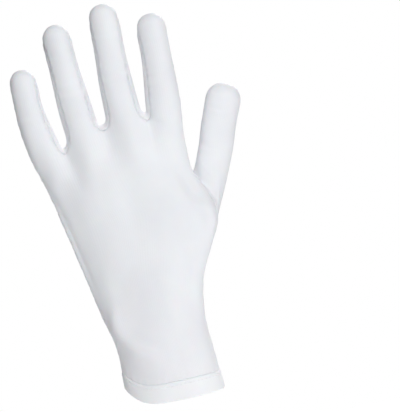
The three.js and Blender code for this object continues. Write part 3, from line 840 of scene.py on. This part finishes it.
def inward_directions(here, outward, quads):
    """For each point of a piece, the way along the cloth to the middle of the faces round it."""
    count = len(here)
    inward = sum_at(quads.ravel(), np.repeat(here[quads].mean(1), 4, 0), count)
    inward = inward / np.bincount(quads.ravel(), minlength=count)[:, None] - here
    inward -= (inward * outward).sum(1, keepdims=True) * outward
    return unit(inward + 1e-12)


def build_piece(name, points, normals, quads, cloth, kinds):
    """A closed piece of cloth: its faces of the skin, the same faces inside, and the cut edges.
    The hem is thicker and stands proud, its edge is rolled round, and its stitches pull it in."""
    is_hem = name == "cuff_hem"
    mine = kinds == KIND[name]
    faces, places = quads[mine], cloth[mine]
    used, local = np.unique(faces, return_inverse=True)
    local = local.reshape(-1, 4)
    count = len(used)
    edges, _ = mesh_edges(local)
    rim = ~np.isin(edge_keys(edges, count), edge_keys(edges[:, ::-1], count))
    at_rim = np.zeros(count, bool)
    at_rim[edges[rim].ravel()] = True
    here, outward = points[used], normals[used]
    row = np.zeros(count)
    row[local.ravel()] = places[..., 1].ravel()
    at_mouth = at_rim & (row < HEM_ROWS[1] / 2)
    at_hem_line = at_rim & (np.abs(row - HEM_HEIGHT) < ROW_TOLERANCE)
    at_seam = at_rim & ~at_mouth & ~at_hem_line

    seam_away = distance_from(at_seam, here, local, RINGS["edge"])
    line_away = distance_from(at_hem_line, here, local, RINGS["edge"])
    lift = SEAM_WELT["height"] * bell(seam_away - SEAM_WELT["away"], SEAM_WELT["width"])
    lift = lift - SEAM_SINK * bell(seam_away, SEAM_REACH)
    thickness = CLOTH
    if is_hem:
        thickness = HEM_THICKNESS
        lift = HEM_PROUD * (1 - bell(line_away, HEM_LINE["round"]))
        lift -= STITCH["groove"] * bell(row - STITCH["row"], STITCH["width"])
    lift = lift - HEM_LINE["sink"] * bell(line_away, HEM_LINE["round"])
    inward = inward_directions(here, outward, local)
    inset = np.where(at_seam, SEAM_GAP / 2, 0) + np.where(at_hem_line, HEM_LINE["gap"] / 2, 0)
    raised = is_hem * thickness / 2 * np.maximum(0, 1 - row / HEM_ROLL_REACH)
    upward = unit(np.array([0, 0, 1.0]) - outward[:, 2:] * outward)
    edge = here + inward * inset[:, None] + upward * raised[:, None]
    outer = edge + outward * lift[:, None]
    evenly = np.full(count, INSIDE["weight"])
    steady = unit(relaxed(outward, neighbours(local), evenly, INSIDE["rounds"], at_rim))
    inner = edge - steady * (thickness - HEM_PROUD * is_hem)

    # The cut edges, in layers from the outer face to the inner one
    layers = ROLL_STEPS if is_hem else 1
    rim_points, rim_local = np.unique(edges[rim], return_inverse=True)
    a, b = rim_local.reshape(-1, 2).T
    turn = np.linspace(0, np.pi, layers + 1)[:, None, None]
    roll = np.where(at_mouth, thickness / 2, 0)[rim_points, None]
    wall = mix(outer[rim_points], inner[rim_points], (1 - np.cos(turn)) / 2)
    wall = wall - inward[rim_points] * roll * np.sin(turn)
    place = 2 * count + np.arange((layers - 1) * len(rim_points)).reshape(-1, len(rim_points))
    place = joined(rim_points[None], place, rim_points[None] + count)
    over, under = place[:-1], place[1:]
    walls = np.stack([over[:, b], over[:, a], under[:, a], under[:, b]], -1)
    everything = joined(outer, inner, wall[1:-1].reshape(-1, 3))
    corners = joined(local, local[:, ::-1] + count, walls.reshape(-1, 4))

    at_a, at_b = places.reshape(-1, 2)[rim], np.roll(places, -1, 1).reshape(-1, 2)[rim]
    wall_cloth = np.stack([at_b, at_a, at_a, at_b], 1)
    depth = np.arange(layers)[:, None, None, None] + np.array([0, 0, 1, 1])[:, None]
    wall_cloth = wall_cloth - depth / layers * thickness * np.array([0, 1])
    on_cloth = joined(places, places[:, ::-1], wall_cloth.reshape(-1, 4, 2))
    sizes = np.full(len(corners), 4)
    mesh = make_mesh(name, everything, corners.ravel(), sizes, on_cloth.reshape(-1, 2))
    return add_object(f"{name}_cloth", mesh), outer, outward, row


def hem_stitches(outer, outward, row):
    """A row of thread round the hem: short bent rods that dip into the cloth at both ends."""
    on_row = np.abs(row - STITCH["row"]) < ROW_TOLERANCE
    ring, facing = outer[on_row], outward[on_row]
    order = np.argsort(np.arctan2(ring[:, 1], ring[:, 0]))
    order = np.append(order, order[0])
    ring, facing = ring[order], facing[order]
    run = joined([0], np.cumsum(np.linalg.norm(np.diff(ring, axis=0), axis=1)))
    number = int(round(run[-1] / STITCH["pitch"]))
    start = np.arange(number) * run[-1] / number

    sides, rings = STITCH["sides"], STITCH["rings"]
    along = np.linspace(-1, 1, rings)
    at = (start[:, None] + along * STITCH["length"] / 2) % run[-1]
    middle = np.stack([np.interp(at, run, values) for values in ring.T], -1)
    out = unit(np.stack([np.interp(at, run, values) for values in facing.T], -1))
    thread = STITCH["thread"] / 2
    stand = thread * (STITCH["arch"] - STITCH["dive"] * along**4)
    middle = middle + out * stand[:, None]
    tangent = unit(np.gradient(middle, axis=1))
    beside = np.cross(out, tangent)
    turn = np.arange(sides) * 2 * np.pi / sides
    round_about = np.cos(turn)[:, None] * out[:, :, None]
    round_about = round_about + np.sin(turn)[:, None] * beside[:, :, None]
    radius = thread * (1 - STITCH["taper"] * along**6)
    surface = middle[:, :, None] + round_about * radius[:, None, None]
    first = np.arange(number)[:, None, None] * rings * sides
    step, below = np.arange(sides), np.arange(rings - 1)[:, None] * sides
    cell, beyond = first + below + step, first + below + (step + 1) % sides
    quads = np.stack([cell, cell + sides, beyond + sides, beyond], -1)
    caps = first + np.stack([step, (rings - 1) * sides + step[::-1]])
    corners = joined(quads.ravel(), caps.ravel())
    sizes = joined(np.full(quads.size // 4, 4), np.full(caps.size // sides, sides))
    no_cloth = np.zeros((len(corners), 2))
    mesh = make_mesh("hem_stitches", surface.reshape(-1, 3), corners, sizes, no_cloth)
    return add_object("hem_stitches", mesh)


def linear(code):
    """An sRGB hex colour as linear red, green and blue, with alpha 1."""
    parts = np.array([int(code[k:k + 2], 16) / 255 for k in (1, 3, 5)])
    light = np.where(parts <= 0.04045, parts / 12.92, ((parts + 0.055) / 1.055) ** 2.4)
    return (*light.tolist(), 1.0)


def set_inputs(tree, node, **inputs):
    """Sets a node's inputs to values, outputs, or other nodes' first outputs. An input goes by its
    name, with _ for spaces, or by i and its number."""
    for key, value in inputs.items():
        numbered = key[0] == "i" and key[1:].isdigit()
        socket = node.inputs[int(key[1:]) if numbered else key.replace("_", " ")]
        if isinstance(value, bpy.types.Node):
            value = value.outputs[0]
        if isinstance(value, bpy.types.NodeSocket):
            tree.links.new(value, socket)
        else:
            socket.default_value = value


def add_node(tree, kind, settings=None, **inputs):
    """Adds a shader node with its settings and inputs."""
    node = tree.nodes.new("ShaderNode" + kind)
    for key, value in (settings or {}).items():
        setattr(node, key, value)
    set_inputs(tree, node, **inputs)
    return node


def new_material(name, **inputs):
    """A new material with its shader's inputs. Returns it, its tree and its shader."""
    material = bpy.data.materials.new(name)
    material.use_nodes = True
    tree = material.node_tree
    shader = tree.nodes["Principled BSDF"]
    set_inputs(tree, shader, **inputs)
    return material, tree, shader


def knit_height(tree):
    """Height of a tricot face, 0 to 1: ribs of loops up the cloth (wales), each a stack of Vs."""
    cloth = add_node(tree, "UVMap", {"uv_map": "cloth"})
    place = add_node(tree, "SeparateXYZ", Vector=cloth)
    values = {"across": place.outputs["X"], "up": place.outputs["Y"]}
    steps = (
        ("wale", "DIVIDE", "across", WALE * MM),
        ("zigzag", "PINGPONG", "wale", 0.5),
        ("slope", "MULTIPLY", "zigzag", LOOP_SLOPE),
        ("course", "DIVIDE", "up", COURSE * MM),
        ("leaning", "ADD", "course", "slope"),
        ("loop", "PINGPONG", "leaning", 0.5),
    )
    for name, operation, first, second in steps:
        values[name] = add_node(tree, "Math", {"operation": operation},
                                i0=values[first], i1=values.get(second, second))
    rib = add_node(tree, "MapRange", {"interpolation_type": "SMOOTHSTEP"},
                   Value=values["zigzag"], From_Min=0.0, From_Max=0.3, To_Min=0.0, To_Max=1.0)
    stack = add_node(tree, "MapRange", {"interpolation_type": "SMOOTHSTEP"},
                     Value=values["loop"], From_Min=0.0, From_Max=0.5, To_Min=0.55, To_Max=1.0)
    return add_node(tree, "Math", {"operation": "MULTIPLY"}, i0=rib, i1=stack)


def nylon_tricot(name, light, shade, roughness):
    """Nylon tricot, warp-knitted from bright filament and heat-set: smooth, with a soft silky sheen
    and no fuzz, a little see-through where it is one layer. Its loops are finer than the picture
    can show, so they are drawn about twice their real size."""
    material, tree, shader = new_material(
        name, IOR=1.53, Specular_IOR_Level=0.35, Sheen_Weight=0.08, Sheen_Roughness=0.4,
        Subsurface_Weight=0.12, Subsurface_Scale=0.0015,
    )
    height = knit_height(tree)
    place = add_node(tree, "TexCoord").outputs["Object"]
    blotch = add_node(tree, "TexNoise", Vector=place, Scale=BLOTCHES, Detail=3.0, Roughness=0.5)
    slub = add_node(tree, "TexNoise", Vector=place, Scale=SLUBS, Detail=2.0).outputs["Fac"]
    tone = add_node(tree, "MapRange", Value=blotch.outputs["Fac"],
                    From_Min=0.3, From_Max=0.7, To_Min=0.5, To_Max=0.9)
    # Painted shade: the knit's grooves are drawn darker and its loops lighter, on top of the faint
    # random blotches
    painted_groove_shade = add_node(tree, "Math", {"operation": "MULTIPLY_ADD"}, i0=height, i1=0.14, i2=-0.08)
    share = add_node(tree, "Math", {"operation": "ADD", "use_clamp": True}, i0=tone, i1=painted_groove_shade)
    colour = add_node(tree, "Mix", {"data_type": "RGBA"}, i0=share, i6=linear(shade), i7=linear(light))
    gloss = add_node(tree, "MapRange", Value=slub, From_Min=0.3, From_Max=0.7,
                     To_Min=roughness - 0.06, To_Max=roughness + 0.06)
    grain = add_node(tree, "Bump", Height=slub, Strength=0.25, Distance=0.00008)
    knit = add_node(tree, "Bump", Height=height, Strength=0.22, Distance=0.0001, Normal=grain)
    set_inputs(tree, shader, Base_Color=colour.outputs[2], Roughness=gloss, Normal=knit)
    return material


def sewing_thread():
    """Spun polyester thread, two-ply: a matt white with a twist that runs slantwise round it."""
    material, tree, shader = new_material(
        "sewing_thread", Base_Color=linear("#F3F4F5"), Roughness=0.75, Sheen_Weight=0.3
    )
    place = add_node(tree, "TexCoord").outputs["Object"]
    twist = add_node(tree, "TexWave", {"bands_direction": "DIAGONAL"}, Vector=place, Scale=TWISTS)
    bump = add_node(tree, "Bump", Height=twist.outputs["Fac"], Strength=0.5, Distance=0.00008)
    set_inputs(tree, shader, Normal=bump)
    return material


def add_aimed(name, data, right, back, place):
    """Puts a camera or a light into the scene: its right side, its back and its place."""
    matrix = np.eye(4)
    matrix[:3] = np.stack([right, np.cross(back, right), back, place], -1)
    thing = add_object(name, data)
    thing.matrix_world = Matrix(matrix.tolist())
    return thing


def add_camera():
    """The photo's view: level with the hand's middle, with the hand leaning left in the frame."""
    roll = np.radians(13)
    target = np.array([0.040, 0.0, 0.111])
    view_height = 0.2513
    data = bpy.data.cameras.new("camera")
    data.lens = 200
    data.sensor_width = 36
    distance = view_height * data.lens / data.sensor_width
    right, back = np.array([np.cos(roll), 0, -np.sin(roll)]), np.array([0, -1, 0])
    camera = add_aimed("camera", data, right, back, target + back * distance)
    bpy.context.scene.camera = camera


def add_studio():
    """A white studio: soft lights in front, behind and above, and a pale floor that glows a
    little. The walls look white, and light the glove only weakly."""
    lights = (
        ("key", (0.44, -1.12, 0.85), 0.8, 12.6),
        ("rear_key", (0.5, 1.15, 0.85), 0.5, 12),
        ("top", (0.1, 0.0, 1.7), 0.8, 3),
    )
    for name, place, size, power in lights:
        data = bpy.data.lights.new(name, "AREA")
        data.shape = "SQUARE"
        data.size = size
        data.energy = power
        back = unit(np.array(place) - (0.0, 0.0, 0.12))
        add_aimed(name, data, unit(np.cross([0, 0, 1.0], back) + 1e-9), back, place)

    world = bpy.data.worlds.new("studio")
    world.use_nodes = True
    bpy.context.scene.world = world
    tree = world.node_tree
    tree.nodes.clear()
    walls = add_node(tree, "Background", Color=linear("#FFFFFF"), Strength=1.0)
    light = add_node(tree, "Background", Color=linear("#FFFFFF"), Strength=0.19)
    seen = add_node(tree, "LightPath")
    both = add_node(tree, "MixShader", i0=seen.outputs["Is Camera Ray"], i1=light, i2=walls)
    add_node(tree, "OutputWorld", Surface=both)
    bpy.context.scene.view_settings.view_transform = "Standard"

    reach, height, sides = 0.9, -0.12, 96
    turn = np.linspace(0, 2 * np.pi, sides, endpoint=False)
    rim = np.stack([reach * np.cos(turn), reach * np.sin(turn), np.full(sides, height)], -1)
    mesh = bpy.data.meshes.new("floor")
    mesh.from_pydata(rim.tolist(), [], [list(range(sides))])
    floor = add_object("floor", mesh)
    white, _, _ = new_material(
        "studio_white", Base_Color=linear("#F4F5F6"), Roughness=0.9,
        Emission_Color=linear("#FFFFFF"), Emission_Strength=0.3,
    )
    mesh.materials.append(white)


add_camera()
add_studio()

points, quads, cloth, kinds = build_skin()
points, normals = sculpted(points, quads, kinds)
single = nylon_tricot("nylon_tricot", "#EFF0F3", "#E3E4EA", 0.6)
# The fourchettes get a slightly darker copy of the same cloth: painted shade between the fingers
side = nylon_tricot("nylon_tricot_sides_painted_shade", "#EDEDF0", "#E1E2E7", 0.62)
folded = nylon_tricot("nylon_tricot_folded", "#F3F5F7", "#EAECF0", 0.58)
FINISHES = {"back_panel": single, "palm_panel": single, "thumb": single, "cuff_hem": folded}
for name in PIECES:
    piece, outer, outward, row = build_piece(name, points, normals, quads, cloth, kinds)
    piece.data.materials.append(FINISHES.get(name, side))
    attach(piece, "root")
    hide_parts(name)
    if name == "cuff_hem":
        stitches = hem_stitches(outer, outward, row)
        stitches.data.materials.append(sewing_thread())
        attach(stitches, "root")
